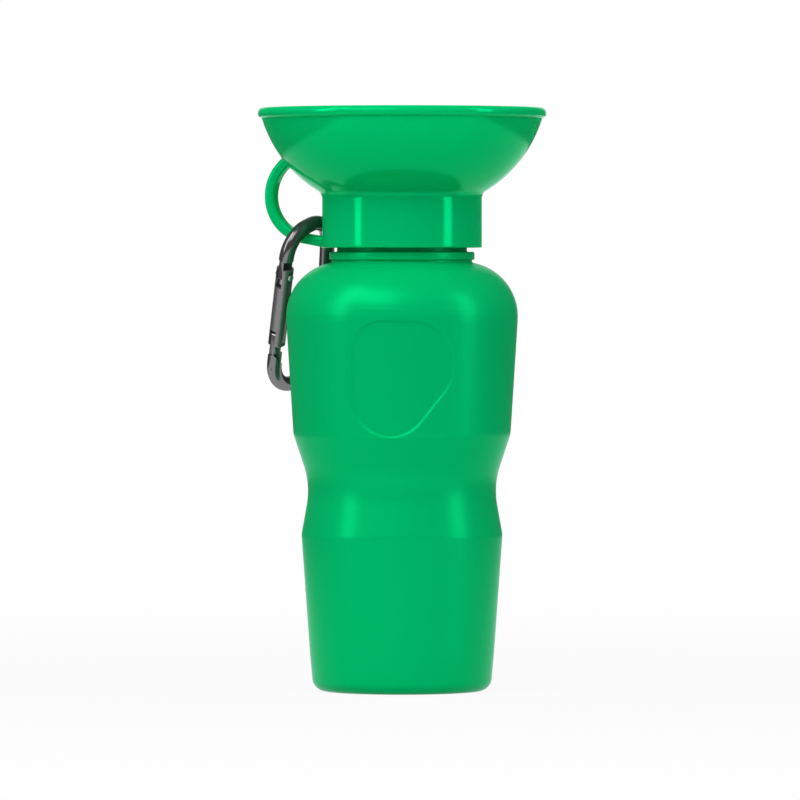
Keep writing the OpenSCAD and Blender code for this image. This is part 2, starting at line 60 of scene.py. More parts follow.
# where the photograph was taken from, in mm; frameWidth is how much its frame spans at the object
view = dict(distance=2930, height=161, aimX=-0.75, aimZ=108.7, frameWidth=299, sensor=36,
            nearest=50, farthest=50000)


def addCamera():
    data = bpy.data.cameras.new("camera")
    data.sensor_width = view["sensor"]
    data.lens = view["sensor"] * view["distance"] / view["frameWidth"]
    data.clip_start = view["nearest"] * mm
    data.clip_end = view["farthest"] * mm
    camera = newObject("camera", data)
    camera.location = Vector((view["aimX"], -view["distance"], view["height"])) * mm
    aim = Vector((view["aimX"], 0, view["aimZ"])) * mm
    camera.rotation_euler = lookingBack(camera.location - aim)
    scene.camera = camera


# azimuth 0 is towards the camera and grows to the right, in degrees; sizes in metres; glow 1 is white;
# a lamp with gloss shows only in what shines, and the others only light what is dull
lampAim = (0, 0, 0.12)
lamps = {
    "softKey": dict(azimuth=-38, height=47, away=1.5, width=1.2, tall=0.7, glow=5.0, gloss=False),
    "frontFill": dict(azimuth=8, height=42, away=1.5, width=1.2, tall=0.7, glow=1.6, gloss=False),
    "rightFill": dict(azimuth=70, height=38, away=1.5, width=0.9, tall=0.7, glow=1.5, gloss=False),
    "keySheen": dict(azimuth=-31, height=40, away=1.5, width=1.0, tall=0.75, glow=2.8, gloss=True),
    "keyCore": dict(azimuth=-66, height=28, away=1.5, width=0.30, tall=1.6, glow=6, gloss=True),
    "stripSheen": dict(azimuth=69, height=17, away=1.2, width=0.28, tall=1.15, glow=5.0, gloss=True),
}


def addLamps():
    for name, lamp in lamps.items():
        data = bpy.data.lights.new(name, "AREA")
        data.shape = "RECTANGLE"
        data.size = lamp["width"]
        data.size_y = lamp["tall"]
        data.energy = lamp["glow"] * pi * lamp["width"] * lamp["tall"]
        obj = newObject(name, data)
        turn, rise = radians(lamp["azimuth"]), radians(lamp["height"])
        way = Vector((sin(turn) * cos(rise), -cos(turn) * cos(rise), sin(rise)))
        obj.location = Vector(lampAim) + way * lamp["away"]
        obj.rotation_euler = lookingBack(way)
        obj.visible_glossy = lamp["gloss"]
        obj.visible_diffuse = not lamp["gloss"]


class Wire:  # an output socket that takes part in sums, so that shader maths reads as maths
    def __init__(self, finish, socket):
        self.finish = finish
        self.socket = socket

    def maths(self, operation, *values):
        return self.finish.add("Math", {"operation": operation}, dict(enumerate(values)))

    def __add__(self, other):
        return self.maths("ADD", self, other)

    def __sub__(self, other):
        return self.maths("SUBTRACT", self, other)

    def __rsub__(self, other):
        return self.maths("SUBTRACT", other, self)

    def __mul__(self, other):
        return self.maths("MULTIPLY", self, other)

    def __truediv__(self, other):
        return self.maths("DIVIDE", self, other)

    def __rtruediv__(self, other):
        return self.maths("DIVIDE", other, self)

    def __or__(self, other):
        return self.maths("MAXIMUM", self, other)

    def __abs__(self):
        return self.maths("ABSOLUTE", self)

    def clamped(self):
        return self.maths("MINIMUM", self.maths("MAXIMUM", self, 0.0), 1.0)

    __radd__ = __add__
    __rmul__ = __mul__
    __ror__ = __or__


class Finish:  # the nodes of a material or of the world; add() makes any node and hands back its output
    def __init__(self, owner):
        owner.use_nodes = True
        self.owner = owner
        self.tree = owner.node_tree
        self.tree.nodes.clear()

    def add(self, kind, settings=None, sockets=None, out=0):
        node = self.tree.nodes.new("ShaderNode" + kind)
        for key, value in (settings or {}).items():
            setattr(node, key, value)
        for key, value in (sockets or {}).items():
            if isinstance(value, Wire):
                self.tree.links.new(value.socket, node.inputs[key])
            else:
                node.inputs[key].default_value = value
        return Wire(self, node.outputs[out]) if len(node.outputs) else None

    def ended(self, surface, output="OutputMaterial"):
        self.add(output, sockets={"Surface": surface})
        return self.owner


def between(share, low, high):  # low where share is 0 and high where it is 1
    return share * (high - low) + low


def blendColours(finish, share, first, second):
    # Mix has a plug of each name for numbers, for vectors and for colours
    factor, colourA, colourB, colourOut = 0, 6, 7, 2
    plugs = {factor: share, colourA: (*first, 1), colourB: (*second, 1)}
    return finish.add("Mix", {"data_type": "RGBA"}, plugs, out=colourOut)


def grain(finish, size, detail):  # noise in the object's own metres, size in mm
    place = finish.add("TexCoord", out="Object")
    return finish.add("TexNoise", sockets={"Vector": place, "Scale": 1 / (size * mm), "Detail": detail})


def shaded(finish, paint, texture, spread, patches, height, more):
    # spread moves the colour, patches move the roughness and height moves the surface
    bump = finish.add("Bump", sockets={
        "Height": height, "Strength": texture["bump"], "Distance": texture["depth"] * mm,
    })
    return finish.add("BsdfPrincipled", sockets={
        "Base Color": blendColours(finish, spread, paint["colour"], paint["shadeTo"]),
        "Roughness": patches * texture["swing"] + (paint["rough"] - texture["swing"] / 2),
        "Normal": bump,
        **more,
    })


# colours are linear, and a slow noise takes colour to shadeTo; see is the share of light that goes
# straight through a wall, and through is its tint
plastics = {
    "bottle": dict(colour=(0.0, 0.435, 0.130), shadeTo=(0.0, 0.420, 0.123), rough=0.31),
    # the bowl's colour is lighter than the bottle's green: partly it makes up for the share that goes
    # through the wall, and partly it is painted light that lifts the collar out of the shade under the bowl
    "bowl": dict(colour=(0.0, 0.610, 0.195), shadeTo=(0.0, 0.590, 0.185), rough=0.13,
                 see=0.30, through=(0.01, 0.78, 0.36)),
    "cap": dict(colour=(0.0, 0.270, 0.065), shadeTo=(0.0, 0.250, 0.058), rough=0.22),
}

# a noise is (size, detail), and its size and the depth are in mm; swing is how far the roughness varies;
# a little Metallic keeps the shine green up to the edges, as it is on dyed plastic
plasticSkin = dict(
    cloud=(60, 0), fine=(0.9, 3), smear=(14, 0), fineShare=0.1, bump=0.02, depth=0.1, swing=0.03,
    metallic=0.17, level=0.03, tint=(0.04, 1.0, 0.9), refraction=1.5,
)


def plasticFinish(name):
    paint = plastics[name]
    finish = Finish(bpy.data.materials.new(name + "Plastic"))
    cloud, fine, smear = (grain(finish, *plasticSkin[noise]) for noise in ("cloud", "fine", "smear"))
    height = fine * plasticSkin["fineShare"] + smear * (1 - plasticSkin["fineShare"])
    shell = shaded(finish, paint, plasticSkin, cloud, smear, height, {
        "Metallic": plasticSkin["metallic"],
        "Specular IOR Level": plasticSkin["level"],
        "Specular Tint": (*plasticSkin["tint"], 1),
        "IOR": plasticSkin["refraction"],
    })
    if "see" in paint:
        clear = finish.add("BsdfTransparent", sockets={"Color": (*paint["through"], 1)})
        shell = finish.add("MixShader", sockets={"Fac": paint["see"], 1: shell, 2: clear})
    return finish.ended(shell)


metals = {
    "rod": dict(colour=(0.150, 0.145, 0.152), shadeTo=(0.190, 0.184, 0.192), rough=0.19, edge=0.5,
                metal=0.84),
    "gate": dict(colour=(0.175, 0.169, 0.175), shadeTo=(0.225, 0.219, 0.225), rough=0.33, edge=0.4,
                 metal=0.7),
    "steel": dict(colour=(0.50, 0.49, 0.50), shadeTo=(0.58, 0.57, 0.58), rough=0.35, edge=0.7, metal=0.9),
}
metalSkin = dict(wear=(2.2, 4), fine=(0.35, 2), bump=0.06, depth=0.04, swing=0.06)


def metalFinish(name):
    paint = metals[name]
    finish = Finish(bpy.data.materials.new(name + "Metal"))
    wear, fine = grain(finish, *metalSkin["wear"]), grain(finish, *metalSkin["fine"])
    return finish.ended(shaded(finish, paint, metalSkin, wear, wear, fine, {
        "Metallic": paint["metal"],
        "Specular Tint": (*[paint["edge"]] * 3, 1),
    }))


softs = {
    "gasket": dict(colour=(0.55, 0.57, 0.55), shadeTo=(0.48, 0.5, 0.48), rough=0.55),
    "seal": dict(colour=(0.02, 0.02, 0.02), shadeTo=(0.035, 0.035, 0.035), rough=0.5),
    "tube": dict(colour=(0.62, 0.72, 0.66), shadeTo=(0.56, 0.66, 0.6), rough=0.35),
}
softSkin = dict(cloud=(4, 3), fine=(0.4, 2), bump=0.15, depth=0.05, swing=0.1)


def softFinish(name):
    finish = Finish(bpy.data.materials.new(name + "Soft"))
    cloud, fine = grain(finish, *softSkin["cloud"]), grain(finish, *softSkin["fine"])
    return finish.ended(shaded(finish, softs[name], softSkin, cloud, cloud, fine, {}))


# sizes in metres; glows, paint, ambient and room are shares of white; what shines sees the white paper
# under the bottle, which runs away and up behind it, in a dim room
stage = dict(
    floorSize=16, floorGlow=0.92, floorPaint=0.5, fadeFrom=0.15, fadeTo=0.9, ambient=0.74, room=0.12,
    paperLeft=-0.35, paperRight=0.45, paperFront=-0.5, paperEdge=0.02, paperGlow=1.4, risingSlope=0.3,
    risingEdge=0.05,
)


def rayKinds(finish):
    names = ("Is Camera Ray", "Is Glossy Ray", "Is Transmission Ray")
    return [finish.add("LightPath", out=name) for name in names]


def acrossAndAlong(finish, place):
    return [finish.add("SeparateXYZ", sockets={0: place}, out=axis) for axis in ("X", "Y")]


def addFloor():
    half = stage["floorSize"] / 2
    mesh = bpy.data.meshes.new("floor")
    corners = [(-half, -half, 0), (half, -half, 0), (half, half, 0), (-half, half, 0)]
    mesh.from_pydata(corners, [], [(0, 1, 2, 3)])
    floor = newObject("floor", mesh)
    finish = Finish(bpy.data.materials.new("floorPaint"))
    byCamera, byGloss, byGlass = rayKinds(finish)
    place = finish.add("TexCoord", out="Object")
    across, along = acrossAndAlong(finish, place)
    reach = finish.add("VectorMath", {"operation": "LENGTH"}, {0: place}, out="Value")
    fade = ((reach - stage["fadeFrom"]) / (stage["fadeTo"] - stage["fadeFrom"])).clamped()
    onPaper = 1
    fromEdges = (across - stage["paperLeft"], stage["paperRight"] - across, along - stage["paperFront"])
    for inwards in fromEdges:
        onPaper = onPaper * (inwards / stage["paperEdge"]).clamped()
    shone = between(onPaper, stage["room"], stage["paperGlow"])
    glow = finish.add("Emission", sockets={"Color": (1, 1, 1, 1), "Strength": between(byGloss, 1, shone)})
    share = (byCamera | byGloss | byGlass) * between(fade, stage["floorGlow"], 1)
    paint = finish.add("BsdfDiffuse", sockets={"Color": (*[stage["floorPaint"]] * 3, 1)})
    mixed = finish.add("MixShader", sockets={"Fac": share, 1: paint, 2: glow})
    mesh.materials.append(finish.ended(mixed))


def addWorld():
    air = Finish(bpy.data.worlds.new("studio"))
    byCamera, byGloss, byGlass = rayKinds(air)
    across, along = acrossAndAlong(air, air.add("TexCoord", out="Generated"))
    onPaper = ((along * stage["risingSlope"] - abs(across)) / stage["risingEdge"]).clamped()
    shone = between(onPaper, stage["room"], 1)
    strength = between(byCamera | byGlass, stage["ambient"], 1) + byGloss * (shone - stage["ambient"])
    light = air.add("Background", sockets={"Color": (1, 1, 1, 1), "Strength": strength})
    scene.world = air.ended(light, "OutputWorld")


scene.view_settings.view_transform = "Standard"
addCamera()
addLamps()
addFloor()
addWorld()
paints = {name: plasticFinish(name) for name in plastics}
paints.update({name: metalFinish(name) for name in metals})
paints.update({name: softFinish(name) for name in softs})
print("camera, lamps and", len(paints), "finishes ready")


# outlines below are in mm and meshes in metres
def bearing(v):
    return atan2(v[1], v[0])


def onCircle(centre, radius, turns):
    return [(centre[0] + radius * cos(t), centre[1] + radius * sin(t)) for t in turns]


def arc(centre, radius, first, last, steps):
    return onCircle(centre, radius, [first + (last - first) * i / steps for i in range(steps + 1)])


# how many points go round each kind of round form
facets = dict(turned=160, bowl=256, sleeve=72, rod=48, seat=32, hole=24, wire=12)


def evenTurns(count):
    return [2 * pi * i / count for i in range(count)]


def circle(radius, count, centre=(0, 0)):
    return onCircle(centre, radius, evenTurns(count))


def roundedLine(corners, steps=10, closed=False):  # corners are (across, up, round)
    line = []
    count = len(corners)
    for i, (x, z, bend) in enumerate(corners):
        if bend == 0 or not closed and i in (0, count - 1):
            line.append((x, z))
            continue
        here = Vector((x, z))
        before = (Vector(corners[i - 1][:2]) - here).normalized()
        after = (Vector(corners[(i + 1) % count][:2]) - here).normalized()
        half = before.angle(after) / 2
        centre = here + (before + after).normalized() * bend / sin(half)
        start = here + before * bend / tan(half) - centre
        end = here + after * bend / tan(half) - centre
        swing = (bearing(end) - bearing(start) + pi) % (2 * pi) - pi
        line += arc(centre, bend, bearing(start), bearing(start) + swing, steps)
    return line


def oblong(left, right, low, high, bend=0, steps=6):
    corners = [(left, low, bend), (right, low, bend), (right, high, bend), (left, high, bend)]
    return roundedLine(corners, steps, closed=True)


def moved(line, depth):  # the outline moved to its left
    out = []
    for i, point in enumerate(line):
        a, b = max(i, 1), min(i, len(line) - 2)
        before = (Vector(line[a]) - Vector(line[a - 1])).normalized()
        after = (Vector(line[b + 1]) - Vector(line[b])).normalized()
        mean = (before + after).normalized()
        side = Vector((-mean.y, mean.x))
        out.append(Vector(point) + side * depth / side.dot(Vector((-before.y, before.x))))
    return [(max(p.x, 0), p.y) for p in out]


def refined(line, step, low=-inf, high=inf):  # more points where the outline runs between two heights
    out = [line[0]]
    for a, b in zip(line, line[1:]):
        parts = 1
        if max(a[1], b[1]) > low and min(a[1], b[1]) < high:
            parts = max(1, int(hypot(b[0] - a[0], b[1] - a[1]) / step))
        for i in range(1, parts + 1):
            out.append((a[0] + (b[0] - a[0]) * i / parts, a[1] + (b[1] - a[1]) * i / parts))
    return out


def skin(mesh, rings, closed=False):  # faces from ring to ring of points, where a ring may be one point
    for low, high in zip(rings, rings[1:] + (rings[:1] if closed else [])):
        count = max(len(low), len(high))
        for i in range(count):
            j = (i + 1) % count
            corners = (low[i % len(low)], low[j % len(low)], high[j % len(high)], high[i % len(high)])
            mesh.faces.new(dict.fromkeys(corners))


def finishedMesh(name, mesh, crease=35):
    data = bpy.data.meshes.new(name)
    mesh.normal_update()
    mesh.to_mesh(data)
    mesh.free()
    data.shade_smooth()
    data.set_sharp_from_angle(angle=radians(crease))
    return newObject(name, data)


def lathe(name, line, turns, closed=False, spot=None):
    mesh = bmesh.new()
    onAxis = 1e-6
    around = [(cos(t), sin(t)) for t in turns]
    rings = []
    for r, z in line:
        ways = around if r > onAxis else [(0, 0)]
        rings.append([mesh.verts.new((r * mm * x, r * mm * y, z * mm)) for x, y in ways])
    skin(mesh, rings, closed)
    if spot:
        mesh.transform(spot)
    return finishedMesh(name, mesh)


def solid(name, rings):  # a skin over rings of points in metres, with both ends closed
    mesh = bmesh.new()
    rings = [[mesh.verts.new(point) for point in ring] for ring in rings]
    skin(mesh, rings)
    mesh.faces.new(reversed(rings[0]))
    mesh.faces.new(rings[-1])
    bmesh.ops.recalc_face_normals(mesh, faces=mesh.faces)
    return finishedMesh(name, mesh)


def sweep(name, path, section, sizes=None):
    # path: (point, across, up) in metres; section: (across, up) in mm; sizes: how much each section grows
    rings = []
    for (point, across, up), (wide, tall) in zip(path, sizes or [(1, 1)] * len(path)):
        rings.append([point + across * x * wide * mm + up * y * tall * mm for x, y in section])
    return solid(name, rings)


def flatPath(line, spot):  # a path in a piece's own upright plane; spot is that plane's place
    path = []
    plane = spot.to_3x3()
    for i, point in enumerate(line):
        a, b = Vector(line[max(i - 1, 0)]), Vector(line[min(i + 1, len(line) - 1)])
        along = (b - a).normalized()
        place = spot @ (Vector((point[0], 0, point[1])) * mm)
        path.append((place, plane @ Vector((along.y, 0, -along.x)), plane @ Vector((0, 1, 0))))
    return path


overlap = 1  # how far, in mm, cutters and joined parts reach past the faces that they meet


def plate(name, outline, low, high, spot):  # a closed outline (across, up), extruded from low to high
    mesh = bmesh.new()
    near, far = ([mesh.verts.new(spot @ (Vector((x, y, z)) * mm)) for x, z in outline] for y in (low, high))
    mesh.faces.new(near)
    mesh.faces.new(reversed(far))
    for i in range(len(near)):
        j = (i + 1) % len(near)
        mesh.faces.new((near[i], far[i], far[j], near[j]))
    bmesh.ops.recalc_face_normals(mesh, faces=mesh.faces)
    return finishedMesh(name, mesh)


def pin(name, radius, reach, spot, centre=(0, 0)):  # a short round bar across a piece's plane, for holes
    return plate(name, circle(radius, facets["hole"], centre), -reach, reach, spot)


def settled(obj):  # its modifiers become its mesh
    shape = obj.evaluated_get(bpy.context.evaluated_depsgraph_get())
    data = bpy.data.meshes.new_from_object(shape)
    obj.modifiers.clear()
    obj.data = data


def combined(obj, operation, others):  # UNION or DIFFERENCE, with the others used up
    for other in others:
        step = obj.modifiers.new(operation, "BOOLEAN")
        step.operation = operation
        step.solver = "EXACT"
        step.object = other
    settled(obj)
    for other in others:
        bpy.data.objects.remove(other)


def softEdges(obj, width, crease=38):
    bevel = obj.modifiers.new("edges", "BEVEL")
    bevel.width = width * mm
    bevel.segments = 3
    bevel.limit_method = "ANGLE"
    bevel.angle_limit = radians(crease)
    even = obj.modifiers.new("shading", "WEIGHTED_NORMAL")
    even.keep_sharp = True
    settled(obj)


# for threads and cams: how deep the foot stands in its wall, in mm, the share of its height at which a
# ridge starts, the part of a turn over which it rises, and the crest's share of the foot's thickness
ridges = dict(sunk=0.1, least=0.04, rise=1 / 12, crestShare=0.4)


def ridge(name, wall, crest, low, lead, start, turns, thick, steps=90):
    # a thread or cam on a round wall, which climbs lead a turn; both its ends run out
    foot = wall + copysign(ridges["sunk"], wall - crest)
    crestThick = thick * ridges["crestShare"]
    rings = []
    for i in range(steps + 1):
        share = i / steps
        ease = min(1, max(ridges["least"], min(share, 1 - share) * turns / ridges["rise"]))
        top = foot + (crest - foot) * ease
        turn = start + 2 * pi * turns * share
        z = low + lead * turns * share
        corners = [(foot, -thick / 2), (top, -crestThick / 2), (top, crestThick / 2), (foot, thick / 2)]
        rings.append([Vector((r * cos(turn), r * sin(turn), z + up)) * mm for r, up in corners])
    return solid(name, rings)


def painted(obj, paint):
    obj.data.materials.clear()
    obj.data.materials.append(paints[paint])


def dress(obj, body, slot, paint, *nodes):
    painted(obj, paint)
    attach(obj, body)
    if nodes:
        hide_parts(*nodes)


# (across, up, round) from the middle of the base to the shoulder, and then single sizes
bottle = dict(
    pushUp=(14.88, 2.8, 6), heel=(24, 0, 1.5), base=(33.1, 0, 4.8), flare=(34.4, 13.8, 60),
    grip=(37.6, 58.4, 8), waist=(34.3, 77, 30), barrel=(40.6, 96, 10), shoulder=(44.4, 156.2, 20.4),
    wall=1.2, neckFoot=160, rootIn=0.4, rootRise=0.35, beadRadius=27.1, beadLow=161.1, beadHigh=164.1,
    underBead=0.9, neckRadius=24.3, neckBore=22.3, boreBelow=2, lip=179, threadCrest=25.5, threadLow=168.6,
    threadLead=4, threadTurns=1.75, threadThick=1.7,
)

# discs are (across, up, radius) from the panel's middle; within margin of its height the mesh has a point
# every step up, and to both sides of the front it has one every turn of so many degrees
panel = dict(
    height=117.4, depth=0.7, edge=1.1,
    discs=[(-7.46, 9.90, 11.2), (-4.28, -7.57, 14.2), (3.89, 5.08, 15.7)],
    margin=26, step=0.4, front=-90, turn=0.55, turnsAside=60, turnsBehind=144,
)


def panelOutline(steps=24):  # one line wrapped anticlockwise round the three discs
    def leaving(a, b):
        way = Vector((b[0] - a[0], b[1] - a[1]))
        return bearing(way) - acos((a[2] - b[2]) / way.length)

    discs = panel["discs"]
    line = []
    for i, disc in enumerate(discs):
        first = leaving(discs[i - 1], disc)
        last = leaving(disc, discs[(i + 1) % len(discs)])
        line += arc(disc[:2], disc[2], first, first + (last - first) % (2 * pi), steps)
    return line


def smoothStep(values):
    values = np.clip(values, 0, 1)
    return values * values * (3 - 2 * values)


def inside(line, x, z):  # distance to a closed outline, positive inside, for arrays of points
    tiny = 1e-12
    best = np.full(x.shape, inf)
    odd = np.zeros(x.shape, bool)
    for (ax, az), (bx, bz) in zip(line, line[1:] + line[:1]):
        dx, dz = bx - ax, bz - az
        span = dx * dx + dz * dz
        if span < tiny:
            continue
        t = np.clip(((x - ax) * dx + (z - az) * dz) / span, 0, 1)
        best = np.minimum(best, np.hypot(x - ax - t * dx, z - az - t * dz))
        crosses = (az > z) != (bz > z)
        odd ^= crosses & (x < ax + (z - az) * dx / (dz if abs(dz) > tiny else tiny))
    return np.where(odd, best, -best)


def pressPanel(obj):  # into both faces of the front wall
    place = np.zeros(len(obj.data.vertices) * 3)
    obj.data.vertices.foreach_get("co", place)
    place = place.reshape(-1, 3)
    x, y, z = place.T / mm
    near = (y < 0) & (abs(z - panel["height"]) < panel["margin"])
    depth = inside(panelOutline(), x[near], z[near] - panel["height"])
    # halfway down the slanted edge is on the outline
    shrink = 1 - panel["depth"] * smoothStep(depth / panel["edge"] + 0.5) / np.hypot(x, y)[near]
    place[near, :2] *= shrink[:, None]
    obj.data.vertices.foreach_set("co", place.ravel())
    obj.data.update()


def makeBottle():
    b = bottle
    root = (b["beadRadius"] - b["rootIn"], b["neckFoot"], 0)
    under = b["beadRadius"] - b["underBead"]
    body = roundedLine([
        (0, b["pushUp"][1], 0), b["pushUp"], b["heel"], b["base"], b["flare"], b["grip"], b["waist"],
        b["barrel"], b["shoulder"], root,
    ], steps=14)
    neck = roundedLine([
        root, (under, b["neckFoot"] + b["rootRise"], 0.3),
        (under, b["beadLow"], 0.2), (b["beadRadius"], b["beadLow"], 0.3),
        (b["beadRadius"], b["beadHigh"], 0.6), (b["neckRadius"], b["beadHigh"], 0.4),
        (b["neckRadius"], b["lip"], 0.5), (b["neckBore"], b["lip"], 0.5),
        (b["neckBore"], b["neckFoot"] - b["boreBelow"], 0),
    ], steps=5)
    hollow = moved(body, b["wall"])  # it ends where it meets the neck's bore
    hollow = [(r, z) for r, z in hollow if r > b["neckBore"] or z < panel["height"]]
    low, high = panel["height"] - panel["margin"], panel["height"] + panel["margin"]
    line = refined(body, panel["step"], low, high) + neck[1:]
    line += [(b["neckBore"], hollow[-1][1])] + hollow[::-1]
    count, behind = panel["turnsAside"], panel["turnsBehind"]
    aside = count * panel["turn"]
    fine = [radians(panel["front"] + panel["turn"] * i) for i in range(-count, count + 1)]
    coarse = [radians(panel["front"] + aside + (360 - 2 * aside) * i / behind) for i in range(1, behind)]
    obj = lathe("bottleShell", line, fine + coarse)
    pressPanel(obj)
    dress(obj, "bottle", "bottle_green", "bottle", "bottle")
    thread = ridge("neckThread", b["neckRadius"], b["threadCrest"], b["threadLow"], b["threadLead"], 0,
                   b["threadTurns"], b["threadThick"], steps=160)
    dress(thread, "bottle", "bottle_green", "bottle")


makeBottle()
print("bottle made")


# its thread starts half a lead above the neck's, less threadDrop, and is threadShort turns shorter
cap = dict(
    skirtLow=166.2, skirtIn=25.85, skirtOut=27.1, deckLow=180.5, deckTop=182.5, turretOut=18.9,
    turretIn=17.3, turretTop=186.2, windows=4, windowWidth=13, windowSill=0.1, windowTop=185.2,
    socketIn=4.06, socketOut=5.06, socketLow=170.5, tubeBore=3, threadCrest=24.65, threadDrop=1.3,
    threadShort=0.25, camCrest=27.95,
)

# the cap's skirt and the bowl's collar have two cams each, which lift the bowl as it turns
cams = dict(low=168.3, lead=8, turns=0.55, thick=1.5)


def addCams(stem, wall, crest, start, *dressing):
    for i in (0, 1):
        cam = ridge(stem + str(i + 1), wall, crest, cams["low"], cams["lead"], pi * i + start,
                    cams["turns"], cams["thick"])
        dress(cam, *dressing)


def makeCap():
    c, b = cap, bottle
    shell = lathe("valveCapShell", roundedLine([
        (c["skirtIn"], c["skirtLow"], 0.3), (c["skirtOut"], c["skirtLow"], 0.4),
        (c["skirtOut"], c["deckTop"], 0.5), (c["turretOut"], c["deckTop"], 0.4),
        (c["turretOut"], c["turretTop"], 0.3), (c["turretIn"], c["turretTop"], 0.3),
        (c["turretIn"], c["deckTop"], 0.4), (c["tubeBore"], c["deckTop"], 0.4),
        (c["tubeBore"], c["deckLow"], 0), (c["socketIn"], c["deckLow"], 0),
        (c["socketIn"], c["socketLow"], 0.2), (c["socketOut"], c["socketLow"], 0.3),
        (c["socketOut"], c["deckLow"], 0.5), (c["skirtIn"], c["deckLow"], 0),
    ], steps=4, closed=True), evenTurns(facets["turned"]), closed=True)
    half = c["windowWidth"] / 2
    window = oblong(-half, half, c["deckTop"] + c["windowSill"], c["windowTop"], bend=0.5, steps=4)
    out, within = -c["turretOut"] - overlap, -c["turretIn"] + 2 * overlap
    cuts = []
    for i in range(c["windows"]):
        turn = Matrix.Rotation(2 * pi * i / c["windows"] + pi / 2, 4, "Z")
        cuts.append(plate("window", window, out, within, turn))
    combined(shell, "DIFFERENCE", cuts)
    dress(shell, "cap", "cap_green", "cap", "valve_cap")
    threadLow = b["threadLow"] + b["threadLead"] / 2 - c["threadDrop"]
    thread = ridge("capThread", c["skirtIn"], c["threadCrest"], threadLow, b["threadLead"], pi,
                   b["threadTurns"] - c["threadShort"], b["threadThick"], steps=150)
    dress(thread, "cap", "cap_green", "cap")
    addCams("skirtCam", c["skirtOut"], c["camCrest"], 0, "cap", "cap_green", "cap")


makeCap()
print("valve cap made")


# its brim and top stand this far over the bowl's floor, and its crown this far over the dome's corner
plug = dict(
    radius=21.15, edge=0.25, low=184.3, grooveLow=185.1, grooveHigh=186.7, groove=19.89, bore=18.96,
    seat=186.25, brim=0.3, top=8.2, crown=0.2, bend=7, wall=1.5, sideLean=1.3, boreFoot=1.2, boreTop=2,
)

bowl = dict(
    port=21.5, floor=187, floorThick=2.2, floorFlat=5, floorStep=0.6, arcRadius=48.6, arcX=5.95,
    arcUp=41.2, footStep=0.4, wall=2, bead=2, rimUp=28.9, collar=29.9, collarLow=165.6, collarEdge=1,
    collarRound=3, bore=28.25, grooveZ=177.6, grooveHalf=0.95, grooveDeep=0.8, camCrest=27.4, wallSteps=48,
    beadSteps=28,
)

# turn and slope in degrees; the strap swells where it is moulded to the collar and to the bowl's wall, and
# the swelling fades over flare
loop = dict(
    turn=160, x=36.2, drop=2, radius=16, thick=4, wide=6, edge=1.4, slope=10, sunk=0.8, flare=0.9,
    swellAcross=0.35, swellUp=0.3, collarDrop=4, ringSteps=60, runSteps=16,
)


def makePlug():
    p = plug
    floor = bowl["floor"]
    ceiling = floor + p["top"] - p["wall"]
    outer = roundedLine([
        (p["radius"], p["grooveHigh"], 0), (p["radius"], floor + p["brim"], 0.3),
        (p["radius"] - p["sideLean"], floor + p["top"] - p["crown"], p["bend"]), (0, floor + p["top"], 0),
    ], steps=16)
    inner = roundedLine([
        (0, ceiling, 0), (p["bore"] - p["boreTop"], ceiling - p["crown"], p["bend"] - p["wall"]),
        (p["bore"] - p["boreFoot"], p["seat"], 0),
    ], steps=12)
    rim = p["radius"] - p["edge"]
    edge = [(p["bore"], p["seat"]), (p["bore"], p["low"]), (rim, p["low"]), (rim, p["grooveLow"]),
            (p["groove"], p["grooveLow"]), (p["groove"], p["grooveHigh"])]
    shell = lathe("domePlugShell", inner + edge + outer, evenTurns(facets["turned"]))
    dress(shell, "cap", "cap_green", "cap", "dome_plug")


